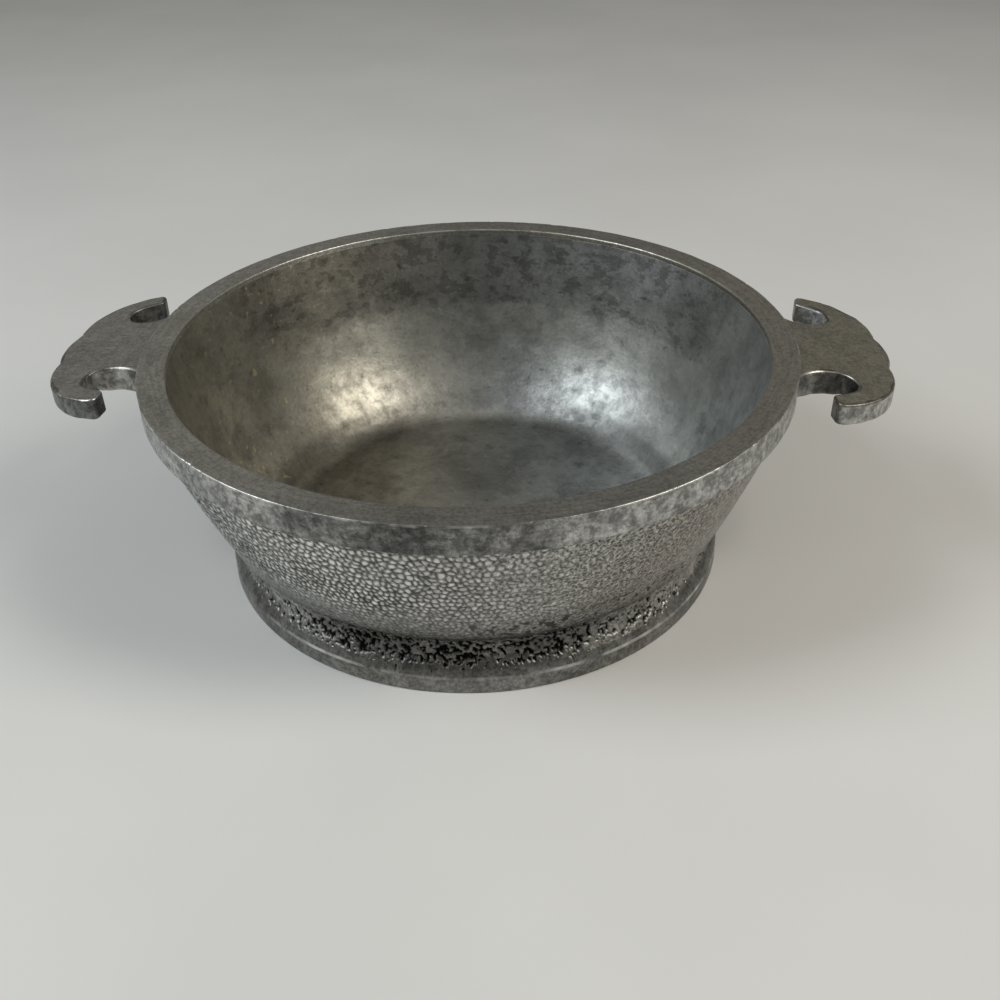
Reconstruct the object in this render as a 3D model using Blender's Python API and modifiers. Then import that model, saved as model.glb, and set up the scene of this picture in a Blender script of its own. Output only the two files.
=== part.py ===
# Cast aluminium sauce pot: bowl, rim band, foot ring and two scalloped wing handles.
# Metres, +Z up. The origin is the centre of the foot's underside and the handles lie along X.

from math import acos, atan2, cos, hypot, pi, radians, sin, sqrt, tan

import bmesh
import bpy

# Overall sizes
RIM_RADIUS = 0.0900
FOOT_RADIUS = 0.0733
POT_HEIGHT = 0.0650

# Clearance between pieces that seat on each other
SEAT_GAP = 0.0003

# Rim band
RIM_WIDTH = 0.0075
RIM_BAND_HEIGHT = 0.0080
RIM_FLANGE = 0.0016
RIM_EDGE = 0.0004
RIM_STEP = 0.0018
BAND_SHOULDER = 0.0008
BODY_LIP_WIDTH = 0.0020

# Bowl
WALL_THICKNESS = 0.0046
WALL_BULGE = 0.0006
FLOOR_THICKNESS = 0.0058
FLOOR_FILLET = 0.0120
WALL_CURVE = 0.0600
FILLET_SHARE = 0.61
BASE_RECESS = 0.0008

# Foot ring
FOOT_HEIGHT = 0.0184
HEEL_OVERHANG = 0.0005
HEEL_ROUND = 0.0009
FOOT_SHOULDER = 0.0024
FOOT_WIDTH = 0.0136
FOOT_BAND_HEIGHT = 0.0050
FOOT_LIP_HEIGHT = 0.0022
FOOT_LIP_WIDTH = 0.0010
FOOT_EDGE = 0.0004
COVE_DEPTH = 0.0023

# Wing handles
HANDLE_DROP = 0.0018
HANDLE_FALL = 0.0026
HANDLE_THICKNESS = 0.0050
HANDLE_ROOT_DEPTH = 0.0006
HANDLE_REACH = 0.0256
HANDLE_ROUND = 0.0006
NECK_WIDTH = 0.0290
NECK_FILLET = 0.0090
NECK_TOE = 0.0013
SLOT_WIDTH = 0.0112
SLOT_REACH = 0.0126
ARM_WIDTH = 0.0073
HOOK_WIDTH = 0.0054
HOOK_GAP = 0.0046
HOOK_SLANT = 0.0008
HOOK_ROUND = 0.0010
CENTRE_LOBE_WIDTH = 0.0176
CENTRE_LOBE_RISE = 0.0016
SIDE_LOBE_RISE = 0.0063

# Facets round a full turn
TURN_STEPS = 96

# Heights and radii that follow from the sizes above
MOUTH_RADIUS = RIM_RADIUS - RIM_WIDTH
BAND_BASE = POT_HEIGHT - RIM_BAND_HEIGHT
WALL_TOP_RADIUS = RIM_RADIUS - RIM_STEP
WALL_FOOT_RADIUS = FOOT_RADIUS + HEEL_OVERHANG
FLOOR_TOP = BASE_RECESS + FLOOR_THICKNESS
SADDLE_RADIUS = RIM_RADIUS + SEAT_GAP


def clear_scene():
    for item in list(bpy.data.objects):
        bpy.data.objects.remove(item, do_unlink=True)


def make_collection(name):
    group = bpy.data.collections.new(name)
    bpy.context.scene.collection.children.link(group)
    return group


def make_material(name, colour, roughness):
    material = bpy.data.materials.new(name)
    material.use_nodes = True
    shader = material.node_tree.nodes["Principled BSDF"]
    shader.inputs["Base Color"].default_value = (*colour, 1.0)
    shader.inputs["Metallic"].default_value = 1.0
    shader.inputs["Roughness"].default_value = roughness
    return material


def rounded_corner(before, corner, after, radius, count):
    # Replaces one corner of a path with an arc that touches both of its sides.
    to_before = (before[0] - corner[0], before[1] - corner[1])
    to_after = (after[0] - corner[0], after[1] - corner[1])
    length_before = hypot(*to_before)
    length_after = hypot(*to_after)
    dot = to_before[0] * to_after[0] + to_before[1] * to_after[1]
    opening = acos(max(-1.0, min(1.0, dot / (length_before * length_after))))
    reach = min(radius / tan(opening / 2), 0.9 * length_before, 0.9 * length_after)
    radius = reach * tan(opening / 2)
    start = (corner[0] + to_before[0] / length_before * reach, corner[1] + to_before[1] / length_before * reach)
    end = (corner[0] + to_after[0] / length_after * reach, corner[1] + to_after[1] / length_after * reach)
    middle = ((start[0] + end[0]) / 2 - corner[0], (start[1] + end[1]) / 2 - corner[1])
    to_centre = hypot(radius, reach) / hypot(*middle)
    centre = (corner[0] + middle[0] * to_centre, corner[1] + middle[1] * to_centre)
    first = atan2(start[1] - centre[1], start[0] - centre[0])
    turn = atan2(end[1] - centre[1], end[0] - centre[0]) - first
    turn = (turn + pi) % (2 * pi) - pi
    angles = [first + turn * step / count for step in range(count + 1)]
    return [(centre[0] + radius * cos(angle), centre[1] + radius * sin(angle)) for angle in angles]


def arc_between(start, end, rise, count):
    # Points of the arc that bows out by the given rise to the right of the line from start to end.
    chord = hypot(end[0] - start[0], end[1] - start[1])
    side = 1 if rise > 0 else -1
    depth = abs(rise)
    radius = chord * chord / (8 * depth) + depth / 2
    along = ((end[0] - start[0]) / chord, (end[1] - start[1]) / chord)
    right = (along[1] * side, -along[0] * side)
    centre = (
        (start[0] + end[0]) / 2 - right[0] * (radius - depth),
        (start[1] + end[1]) / 2 - right[1] * (radius - depth),
    )
    first = atan2(start[1] - centre[1], start[0] - centre[0])
    turn = atan2(end[1] - centre[1], end[0] - centre[0]) - first
    turn = (turn + pi) % (2 * pi) - pi
    angles = [first + turn * step / count for step in range(count + 1)]
    return [(centre[0] + radius * cos(angle), centre[1] + radius * sin(angle)) for angle in angles]


def turned(name, profile, closed, material, group, parent):
    # Spins a profile in the XZ plane round Z.
    mesh = bpy.data.meshes.new(name)
    edges = [(index, index + 1) for index in range(len(profile) - 1)]
    if closed:
        edges.append((len(profile) - 1, 0))
    mesh.from_pydata([(radius, 0.0, height) for radius, height in profile], edges, [])
    piece = bpy.data.objects.new(name, mesh)
    group.objects.link(piece)
    piece.parent = parent
    screw = piece.modifiers.new("Turn", "SCREW")
    screw.axis = "Z"
    screw.angle = 2 * pi
    screw.steps = TURN_STEPS
    screw.render_steps = TURN_STEPS
    screw.use_merge_vertices = True
    screw.merge_threshold = 0.00001
    screw.use_smooth_shade = True
    mesh.materials.append(material)
    return piece


def wall_radius(height):
    # Outer radius of the hammered wall: a cone with a slight outward bow.
    share = (height - FOOT_HEIGHT) / (BAND_BASE - FOOT_HEIGHT)
    straight = WALL_FOOT_RADIUS + (WALL_TOP_RADIUS - WALL_FOOT_RADIUS) * share
    return straight + WALL_BULGE * 4 * share * (1 - share)


def band_seat(gap):
    # The rim band's seat, from the bowl's top edge down its cone to the shoulder.
    # The band's side stands clear of the bowl's by the gap.
    top = (MOUTH_RADIUS + BODY_LIP_WIDTH, POT_HEIGHT - RIM_FLANGE - SEAT_GAP)
    foot = (WALL_TOP_RADIUS - BAND_SHOULDER, BAND_BASE - SEAT_GAP)
    slope = (top[0] - foot[0]) / (top[1] - foot[1])
    aside = gap * sqrt(1 + slope * slope)
    raised_top = (top[0] + aside + slope * gap, top[1] + gap)
    raised_foot = (foot[0] + aside + slope * gap, foot[1] + gap)
    return raised_top, raised_foot


def foot_seat(gap):
    # The foot ring's seat, from the shoulder under the wall down a cone to the underside.
    # The ring's side stands clear of the bowl's by the gap.
    top = (WALL_FOOT_RADIUS - FOOT_SHOULDER, FOOT_HEIGHT)
    foot = (FOOT_RADIUS - FOOT_WIDTH, BASE_RECESS)
    slope = (top[0] - foot[0]) / (top[1] - foot[1])
    aside = gap * sqrt(1 + slope * slope)
    lowered_top = (top[0] + aside - slope * gap, top[1] - gap)
    base = (foot[0] + aside - slope * foot[1], 0.0)
    return lowered_top, foot, base


def bowl_curve(corner, mouth):
    # The inside's turn from the floor into the wall: a tight arc at the floor, then an easy one.
    slope = atan2(mouth[1] - corner[1], mouth[0] - corner[0])
    split = slope * FILLET_SHARE
    tight = FLOOR_FILLET
    easy = WALL_CURVE
    rise = tight * (1 - cos(split)) + easy * (cos(split) - cos(slope))
    room = 0.85 * (mouth[1] - corner[1])
    if rise > room:
        tight *= room / rise
        easy *= room / rise
        rise = room
    width = tight * sin(split) + easy * (sin(slope) - sin(split))
    start = (corner[0] + rise / tan(slope) - width, corner[1])
    points = []
    for step in range(7):
        angle = split * step / 6
        points.append((start[0] + tight * sin(angle), start[1] + tight * (1 - cos(angle))))
    turn = points[-1]
    for step in range(1, 8):
        angle = split + (slope - split) * step / 7
        points.append((turn[0] + easy * (sin(angle) - sin(split)), turn[1] + easy * (cos(split) - cos(angle))))
    return points


def body_profile():
    lip, shoulder = band_seat(0.0)
    heel_seat, base_edge, _ = foot_seat(0.0)
    # The inside's upper wall aims at one wall thickness at the heel, and curves in to the floor below.
    mouth = (MOUTH_RADIUS, lip[1])
    inner_heel = WALL_FOOT_RADIUS - WALL_THICKNESS
    taper = (mouth[0] - inner_heel) / (mouth[1] - FOOT_HEIGHT)
    floor_corner = (inner_heel - taper * (FOOT_HEIGHT - FLOOR_TOP), FLOOR_TOP)
    wall_top = (WALL_TOP_RADIUS, shoulder[1])
    wall_foot = (WALL_FOOT_RADIUS, FOOT_HEIGHT)
    path = [(0.0, FLOOR_TOP)]
    path += bowl_curve(floor_corner, mouth)
    path += [mouth, lip, shoulder, wall_top]
    for step in range(1, 8):
        height = wall_top[1] + (wall_foot[1] - wall_top[1]) * step / 8
        path.append((wall_radius(height), height))
    path += rounded_corner(path[-1], wall_foot, heel_seat, HEEL_ROUND, 3)
    path += [heel_seat, base_edge, (0.0, BASE_RECESS)]
    return path


def band_profile():
    top, foot = band_seat(SEAT_GAP)
    return [
        (MOUTH_RADIUS, POT_HEIGHT - RIM_EDGE),
        (MOUTH_RADIUS + RIM_EDGE, POT_HEIGHT),
        (RIM_RADIUS - RIM_EDGE, POT_HEIGHT),
        (RIM_RADIUS, POT_HEIGHT - RIM_EDGE),
        (RIM_RADIUS, BAND_BASE + RIM_EDGE),
        (RIM_RADIUS - RIM_EDGE, BAND_BASE),
        foot,
        top,
        (MOUTH_RADIUS, top[1]),
    ]


def foot_profile():
    seat_top, _, base = foot_seat(SEAT_GAP)
    cove_top = (WALL_FOOT_RADIUS - HEEL_ROUND, FOOT_HEIGHT - SEAT_GAP)
    lip = (FOOT_RADIUS - FOOT_LIP_WIDTH, FOOT_BAND_HEIGHT + FOOT_LIP_HEIGHT)
    band_top = (FOOT_RADIUS, FOOT_BAND_HEIGHT)
    path = [seat_top]
    path += arc_between(cove_top, lip, COVE_DEPTH, 8)
    path += [band_top, (FOOT_RADIUS, FOOT_EDGE), (FOOT_RADIUS - FOOT_EDGE, 0.0), base]
    return path


def handle_half_outline():
    # One half of the handle seen from above, from the centre lobe's tip round to the saddle on the rim.
    half_neck = NECK_WIDTH / 2
    tip_edge = half_neck + SLOT_WIDTH + ARM_WIDTH
    reach = RIM_RADIUS + HANDLE_REACH
    notch = (reach - CENTRE_LOBE_RISE, CENTRE_LOBE_WIDTH / 2)
    hook_inner = (RIM_RADIUS + HOOK_GAP, tip_edge - HOOK_WIDTH)
    hook_outer = (RIM_RADIUS + HOOK_GAP + HOOK_SLANT, tip_edge)
    lobe = arc_between((notch[0], -notch[1]), notch, CENTRE_LOBE_RISE, 12)
    points = lobe[6:]
    points += arc_between(notch, hook_outer, SIDE_LOBE_RISE, 12)[1:-1]
    # The hook's inner side runs straight on to the slot's round end, and round that to the neck.
    slot_radius = SLOT_WIDTH / 2
    slot_x = RIM_RADIUS + SLOT_REACH - slot_radius
    slot_y = half_neck + slot_radius
    away = (hook_inner[0] - slot_x, hook_inner[1] - slot_y)
    first = atan2(away[1], away[0]) - acos(min(1.0, slot_radius / hypot(*away)))
    angles = [first + (-pi / 2 - first) * step / 12 for step in range(13)]
    slot = [(slot_x + slot_radius * cos(angle), slot_y + slot_radius * sin(angle)) for angle in angles]
    points += rounded_corner(points[-1], hook_outer, hook_inner, HOOK_ROUND, 4)
    points += rounded_corner(hook_outer, hook_inner, slot[0], HOOK_ROUND, 3)
    points += slot
    # The neck's fillet touches its side and the rim, and leaves room for the slot's round end.
    largest = (slot_x ** 2 - SADDLE_RADIUS ** 2 + half_neck ** 2) / (2 * (SADDLE_RADIUS - half_neck))
    fillet = min(NECK_FILLET, 0.98 * largest)
    fillet_y = half_neck + fillet
    fillet_x = sqrt((SADDLE_RADIUS + fillet) ** 2 - fillet_y ** 2)
    # It stops where the wedge between it and the rim is still one toe thick.
    toe = SADDLE_RADIUS + NECK_TOE
    to_centre = SADDLE_RADIUS + fillet
    spread = acos((fillet ** 2 + to_centre ** 2 - toe ** 2) / (2 * fillet * to_centre))
    last = atan2(-fillet_y, -fillet_x) + spread
    for step in range(9):
        angle = -pi / 2 + (last + pi / 2) * step / 8
        points.append((fillet_x + fillet * cos(angle), fillet_y + fillet * sin(angle)))
    toe_angle = atan2(points[-1][1], points[-1][0])
    for step in range(6):
        angle = toe_angle * (1 - step / 6)
        points.append((SADDLE_RADIUS * cos(angle), SADDLE_RADIUS * sin(angle)))
    return points


def handle_mesh():
    half = handle_half_outline()
    mirrored = [(x, -y) for x, y in reversed(half[1:])]
    saddle_middle = (SADDLE_RADIUS, 0.0)
    outline = half + [saddle_middle] + mirrored
    curve = bpy.data.curves.new("handle_outline", "CURVE")
    curve.dimensions = "2D"
    curve.fill_mode = "BOTH"
    curve.extrude = HANDLE_THICKNESS / 2
    spline = curve.splines.new("POLY")
    spline.points.add(len(outline) - 1)
    for point, (x, y) in zip(spline.points, outline):
        point.co = (x, y, 0.0, 1.0)
    spline.use_cyclic_u = True
    flat = bpy.data.objects.new("handle_outline", curve)
    bpy.context.scene.collection.objects.link(flat)
    bpy.context.view_layer.update()
    evaluated = flat.evaluated_get(bpy.context.evaluated_depsgraph_get())
    mesh = bpy.data.meshes.new_from_object(evaluated)
    mesh.name = "wing_handle"
    bpy.data.objects.remove(flat, do_unlink=True)
    bpy.data.curves.remove(curve)

    work = bmesh.new()
    work.from_mesh(mesh)
    bmesh.ops.remove_doubles(work, verts=work.verts, dist=0.00001)
    bmesh.ops.dissolve_limit(work, angle_limit=radians(0.5), verts=work.verts, edges=work.edges)
    bmesh.ops.recalc_face_normals(work, faces=work.faces)
    # The plate falls away from the rim, and its underside is deepest at the neck.
    for vertex in work.verts:
        outward = (vertex.co.x - RIM_RADIUS) / HANDLE_REACH
        if vertex.co.z < 0:
            vertex.co.z -= HANDLE_ROOT_DEPTH * (1 - outward)
        vertex.co.z -= HANDLE_FALL * outward
    saddle_limit = SADDLE_RADIUS + NECK_TOE / 2
    soft_edges = []
    for edge in work.edges:
        first, second = edge.verts
        on_rim = max(hypot(first.co.x, first.co.y), hypot(second.co.x, second.co.y)) < saddle_limit
        upright = abs(first.co.z - second.co.z) > HANDLE_THICKNESS / 2
        if not on_rim and not upright:
            soft_edges.append(edge)
    bmesh.ops.bevel(
        work, geom=soft_edges, offset=HANDLE_ROUND, offset_type="OFFSET", segments=2, profile=0.5,
        affect="EDGES", clamp_overlap=False,
    )
    work.to_mesh(mesh)
    work.free()
    mesh.shade_smooth()
    mesh.set_sharp_from_angle(angle=radians(40))
    return mesh


def place_handle(name, mesh, turn, material, group, parent):
    piece = bpy.data.objects.new(name, mesh)
    group.objects.link(piece)
    piece.parent = parent
    piece.location = (0.0, 0.0, POT_HEIGHT - HANDLE_DROP - HANDLE_THICKNESS / 2)
    piece.rotation_euler = (0.0, 0.0, turn)
    piece.material_slots[0].link = "OBJECT"
    piece.material_slots[0].material = material
    return piece


def main():
    clear_scene()
    group = make_collection("sauce_pot")
    root = bpy.data.objects.new("sauce_pot_frame", None)
    group.objects.link(root)

    hammered = make_material("hammered_aluminium", (0.42, 0.41, 0.38), 0.45)
    turned_metal = make_material("turned_aluminium", (0.33, 0.33, 0.31), 0.42)
    cast_metal = make_material("cast_aluminium", (0.30, 0.30, 0.27), 0.55)
    left_metal = make_material("left_handle_aluminium", (0.36, 0.36, 0.34), 0.40)
    right_metal = make_material("right_handle_aluminium", (0.36, 0.36, 0.34), 0.40)

    turned("pot_body", body_profile(), False, hammered, group, root)
    turned("rim_band", band_profile(), True, turned_metal, group, root)
    turned("foot_ring", foot_profile(), True, cast_metal, group, root)

    mesh = handle_mesh()
    mesh.materials.append(None)
    place_handle("right_handle", mesh, 0.0, right_metal, group, root)
    place_handle("left_handle", mesh, pi, left_metal, group, root)


main()
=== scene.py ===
# Looks of the cast aluminium sauce pot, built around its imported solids.

from math import acos, atan2, cos, degrees, hypot, pi, radians, sin, sqrt, tan

import bpy
import numpy as np
from mathutils import Matrix, Vector
from mathutils.geometry import tessellate_polygon


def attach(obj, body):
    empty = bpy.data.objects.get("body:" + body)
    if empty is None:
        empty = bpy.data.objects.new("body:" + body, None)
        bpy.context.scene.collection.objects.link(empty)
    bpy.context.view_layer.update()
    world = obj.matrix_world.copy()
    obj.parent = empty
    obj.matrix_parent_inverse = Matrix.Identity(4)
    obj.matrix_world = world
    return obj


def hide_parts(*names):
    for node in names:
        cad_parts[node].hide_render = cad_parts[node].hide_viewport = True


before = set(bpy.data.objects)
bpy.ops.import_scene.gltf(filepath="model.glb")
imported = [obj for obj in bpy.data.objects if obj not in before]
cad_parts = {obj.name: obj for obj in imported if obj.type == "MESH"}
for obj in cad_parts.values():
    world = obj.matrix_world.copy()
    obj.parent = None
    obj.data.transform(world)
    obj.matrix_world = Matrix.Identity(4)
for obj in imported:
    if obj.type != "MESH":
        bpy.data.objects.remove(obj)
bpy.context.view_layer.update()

MM = 0.001

# Sizes in millimetres, the same as the solids'
RIM_RADIUS = 90.0
MOUTH_RADIUS = 82.5
POT_HEIGHT = 65.0
BAND_BASE = 57.0
WALL_TOP_RADIUS = 88.2
WALL_FOOT_RADIUS = 73.8
WALL_BULGE = 0.6
WALL_THICKNESS = 4.6
FLOOR_TOP = 6.6
BASE_RECESS = 0.8
FOOT_HEIGHT = 18.4
FOOT_RADIUS = 73.3
FOOT_BAND_TOP = 5.0
FOOT_LIP_TOP = 7.2
FOOT_LIP_WIDTH = 1.0
COVE_DEPTH = 2.3
HANDLE_TOP = 63.2
HANDLE_FALL = 2.6
HANDLE_ROOT_DEPTH = 0.6
HANDLE_REACH = 25.6
HANDLE_ROUND = 0.6
CENTRE_LOBE_HALF = 8.8
CENTRE_LOBE_RISE = 1.6
SIDE_LOBE_RISE = 6.3
SLOT_RADIUS = 5.6
NECK_HALF = 14.5
NECK_FILLET = 9.0

# Places on a handle, the same as the solids': how far out from the rim, and how far from the middle line
HOOK_INNER = (4.6, 27.6)
HOOK_OUTER = (5.4, 33.0)
SLOT_CENTRE = (7.0, 20.1)

# Sizes in millimetres that differ a little from the solids', with the hidden seats between the pieces
FLOOR_FILLET = 9.0
WALL_CURVE = 55.0
WALL_TOP = BAND_BASE + 0.04
WALL_BOTTOM = FOOT_HEIGHT + 0.5
MOUTH_SEAM = 63.38
BODY_LIP = (84.4, 63.1)
BODY_SHOULDER_RADIUS = 87.3
HEEL_EASE = 0.42
HEEL_RISE = 4.0
HEEL_ROUND = 0.4
HEEL_START = 19.4
HEEL_SEAT = (71.4, FOOT_HEIGHT)
BASE_RADIUS = 59.9
BAND_MOUTH_BASE = 63.44
INNER_EDGE_ROUND = 0.4
OUTER_EDGE_ROUND = 0.22
LOWER_EDGE_ROUND = 0.5
BAND_SEAT = [(88.6, BAND_BASE), (87.75, BAND_BASE), (84.85, 63.4)]
FOOT_LIP_ROUND = 3.0
FOOT_BAND_ROUND = 2.6
FOOT_EDGE_ROUND = 0.5
FOOT_UNDERSIDE = [(70.0, 0.0), (65.0, 0.0), (60.4, 0.0)]
FOOT_SEAT = [(BASE_RADIUS, 0.25), (71.3, 18.1)]
HANDLE_THICKNESS = 5.5
HANDLE_ROOT_RADIUS = RIM_RADIUS - 0.15
HOOK_OUTER_ROUND = 1.9
HOOK_INNER_ROUND = 1.4
NECK_DRAFT = 2.2

# Where some features fade in: the bowl's dents by height, their sideways push by radius, the cove's pits
# by distance down the cove, and the lean of the handle's neck by distance out and aside
DENT_HEIGHTS = (63.3, 60.0)
DENT_RADII = (40.0, 66.0)
COVE_PITS_TOP = (0.6, 3.0)
COVE_PITS_END = (13.0, 10.2)
NECK_OUT = (RIM_RADIUS + 11.5, RIM_RADIUS + 7.5)
NECK_ASIDE = (20.5, 16.0)

# The wall's raised pebbles: their number round the turn, and their height, shrink, scatter, rise and tilt
PEBBLES_ROUND = 312
PEBBLE_HEIGHT = 2.1
PEBBLE_SHRINK = 0.5
PEBBLE_JITTER = 0.72
PEBBLE_RISE = 0.26
PEBBLE_TILT = 0.22

# Depths of the cove's pits and of the deep nick in the rim, and the number of nicks
PIT_DEPTH = 0.6
DEEP_NICK = 0.4
NICK_COUNT = 34

# Directions seen from above, in degrees from +X
FRONT = -85.0
RIM_NICK = -132.5

# Spans seen from above: both ends in degrees from +X, and the width of their fade
CRISP_SPAN = (-165.0, -87.0, 62.0)
BACK_CRISP_SPAN = (20.0, 160.0, 50.0)
LOW_PIT_SPAN = (-92.0, -30.0, 40.0)
COVE_PIT_SPAN = (-140.0, -28.0, 60.0)
DEEP_PIT_SPAN = (-130.0, -66.0, 40.0)
BACK_PIT_SPAN = (40.0, 140.0, 60.0)
BRIGHT_LIP_SPAN = (15.0, 110.0, 40.0)
FOOT_SPAN_WITHOUT_HIGHLIGHT = (-108.0, -72.0, 20.0)

# Points round the turn, rows of points up the wall and steps along a handle's outline
WALL_COLUMNS = 1000
BOWL_COLUMNS = 250
WALL_ROWS = 82
BAND_COLUMNS = 900
FOOT_COLUMNS = 1400
LOBE_STEPS = 40
SIDE_LOBE_STEPS = 48
SLOT_STEPS = 40
FILLET_STEPS = 28
ROOT_STEPS = 16

# Share of the inside's turn that its tight arc takes
FILLET_SHARE = 0.61

# Share by which columns crowd towards the front
FRONT_CROWDING = 0.35

# Light and camera: places in metres, the lens in millimetres and angles in degrees
LIGHT_AIM = (0.0, 0.0, 0.04)
SKY_COLOUR = (0.195, 0.19, 0.178, 1.0)
SENSOR_WIDTH = 36.0
LENS = 39.7
CAMERA_PLACE = (0.02284, -0.27782, 0.20114)
CAMERA_TURN = 3.13
CAMERA_DIP = 34.47
CAMERA_ROLL = -1.17


def smoothstep(low, high, value):
    share = np.clip((value - low) / (high - low), 0.0, 1.0)
    return share * share * (3.0 - 2.0 * share)


def scatter(first, second, third, seed):
    # Repeatable numbers from 0 to 1 for whole-number cells
    mixed = first * 73856093 + second * 19349663 + third * 83492791 + seed * 15485863
    mixed = np.bitwise_and(mixed, 0xFFFFFFFF)
    mixed = np.bitwise_and((mixed ^ (mixed >> 13)) * 1274126177, 0xFFFFFFFF)
    mixed = np.bitwise_and((mixed ^ (mixed >> 15)) * 461845907, 0xFFFFFFFF)
    return np.bitwise_and(mixed ^ (mixed >> 16), 0xFFFFFF) / float(0xFFFFFF)


def lumps(points, size, seed):
    # Smooth value noise from -1 to 1, with lumps of the given size
    place = np.asarray(points, float) / size
    cell = np.floor(place).astype(np.int64)
    part = place - cell
    ease = part * part * (3.0 - 2.0 * part)
    total = np.zeros(len(place))
    for dx in (0, 1):
        for dy in (0, 1):
            for dz in (0, 1):
                weight = np.abs(1 - dx - ease[:, 0]) * np.abs(1 - dy - ease[:, 1])
                weight = weight * np.abs(1 - dz - ease[:, 2])
                total += weight * scatter(cell[:, 0] + dx, cell[:, 1] + dy, cell[:, 2] + dz, seed)
    return total * 2.0 - 1.0


def turn_gap(angle, centre):
    # Signed angle from centre, in degrees, from -180 to 180
    return (np.degrees(angle) - centre + 180.0) % 360.0 - 180.0


def within_turn(angle, span):
    # 1 between the ends of a span, fading to 0 outside them
    start, end, fade = span
    middle = (start + end) / 2
    half = (end - start) / 2
    return smoothstep(half + fade / 2, half - fade / 2, np.abs(turn_gap(angle, middle)))


def cells_around(angle, along, radius, heights, count, jitter, seed):
    # Nearest and second nearest centres of a jittered brick layout that closes round the full turn.
    # Returns both distances, the offset from the nearest centre and that cell's row and column.
    heights = np.asarray(heights)
    edges = np.cumsum(heights)
    middles = edges - heights / 2
    row = np.searchsorted(edges, along)
    nearest = np.full(len(angle), 1e9)
    second = np.full(len(angle), 1e9)
    aside = np.zeros(len(angle))
    below = np.zeros(len(angle))
    cell_row = np.zeros(len(angle), np.int64)
    cell_column = np.zeros(len(angle), np.int64)
    for step_row in (-1, 0, 1):
        this_row = row + step_row
        inside = np.clip(this_row, 0, len(heights) - 1)
        height = heights[inside]
        middle = middles[inside] + (this_row - inside) * height
        shift = 0.5 * (this_row % 2)
        column = np.floor(angle / (2 * pi) * count - shift).astype(np.int64)
        for step_column in (-2, -1, 0, 1, 2):
            this_column = (column + step_column) % count
            off_column = jitter * (scatter(this_row, this_column, this_row * 0, seed) - 0.5)
            off_row = jitter * (scatter(this_row, this_column, this_row * 0 + 7, seed) - 0.5)
            centre = (this_column + shift + 0.5 + off_column) * 2 * pi / count
            across = ((angle - centre + pi) % (2 * pi) - pi) * radius
            down = along - middle - off_row * height
            distance = np.hypot(across, down)
            closer = distance < nearest
            second = np.where(closer, nearest, np.minimum(second, distance))
            nearest = np.where(closer, distance, nearest)
            aside = np.where(closer, across, aside)
            below = np.where(closer, down, below)
            cell_row = np.where(closer, this_row, cell_row)
            cell_column = np.where(closer, this_column, cell_column)
    return nearest, second, aside, below, cell_row, cell_column


def turn_angles(columns):
    # Angles round the turn, closer together at the front
    even = np.arange(columns) * 2 * pi / columns
    return even - FRONT_CROWDING * np.sin(even - radians(FRONT))


def ring(radius, height, columns):
    angle = turn_angles(columns)
    return np.stack([radius * np.cos(angle), radius * np.sin(angle), np.full(columns, height)], -1)


def stitch(rings, closed=False):
    # Joins rings of points into faces.
    # A ring may have one point, or a whole share of its neighbour's count.
    starts = np.cumsum([0] + [len(points) for points in rings])
    faces = []
    pairs = [(index, index + 1) for index in range(len(rings) - 1)]
    if closed:
        pairs.append((len(rings) - 1, 0))
    for upper, lower in pairs:
        count_up = len(rings[upper])
        count_low = len(rings[lower])
        up = starts[upper]
        low = starts[lower]
        if count_up == count_low:
            this = np.arange(count_up)
            after = (this + 1) % count_up
            faces += np.stack([up + this, low + this, low + after, up + after], -1).tolist()
        elif count_up == 1:
            this = np.arange(count_low)
            faces += np.stack([up + this * 0, low + this, low + (this + 1) % count_low], -1).tolist()
        elif count_low == 1:
            this = np.arange(count_up)
            faces += np.stack([up + this, low + this * 0, up + (this + 1) % count_up], -1).tolist()
        else:
            many, few = (up, low) if count_up > count_low else (low, up)
            count_many = max(count_up, count_low)
            count_few = min(count_up, count_low)
            share = count_many // count_few
            for column in range(count_few):
                here = few + column
                there = few + (column + 1) % count_few
                for step in range(share):
                    fine = many + column * share + step
                    after = many + (column * share + step + 1) % count_many
                    corner = here if step < share // 2 else there
                    fan = [[fine, corner, after]]
                    if step == share // 2:
                        fan.append([fine, here, there])
                    if count_up < count_low:
                        fan = [[second, first, third] for first, second, third in fan]
                    faces += fan
    return np.concatenate(rings), faces


def make_piece(name, points, faces, materials, node, marks):
    # A mesh piece in metres that stands for one CAD node, with named values at its points
    mesh = bpy.data.meshes.new(name)
    mesh.from_pydata((points * MM).tolist(), [], faces)
    for label, values in marks.items():
        layer = mesh.attributes.new(label, "FLOAT", "POINT")
        layer.data.foreach_set("value", np.asarray(values, np.float32))
    for material in materials:
        mesh.materials.append(material)
    mesh.shade_smooth()
    mesh.update()
    piece = bpy.data.objects.new(name, mesh)
    bpy.context.scene.collection.objects.link(piece)
    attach(piece, "root")
    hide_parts(node)
    return piece


def arc(centre, radius, start, end, count):
    angles = [radians(start + (end - start) * step / count) for step in range(count + 1)]
    return [(centre[0] + radius * cos(angle), centre[1] + radius * sin(angle)) for angle in angles]


def sweep(centre, radius, start, end, count):
    # The shorter arc round a centre, from the direction of start to that of end
    first = atan2(start[1] - centre[1], start[0] - centre[0])
    turn = atan2(end[1] - centre[1], end[0] - centre[0]) - first
    turn = (turn + pi) % (2 * pi) - pi
    angles = [first + turn * step / count for step in range(count + 1)]
    return [(centre[0] + radius * cos(angle), centre[1] + radius * sin(angle)) for angle in angles]


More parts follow.
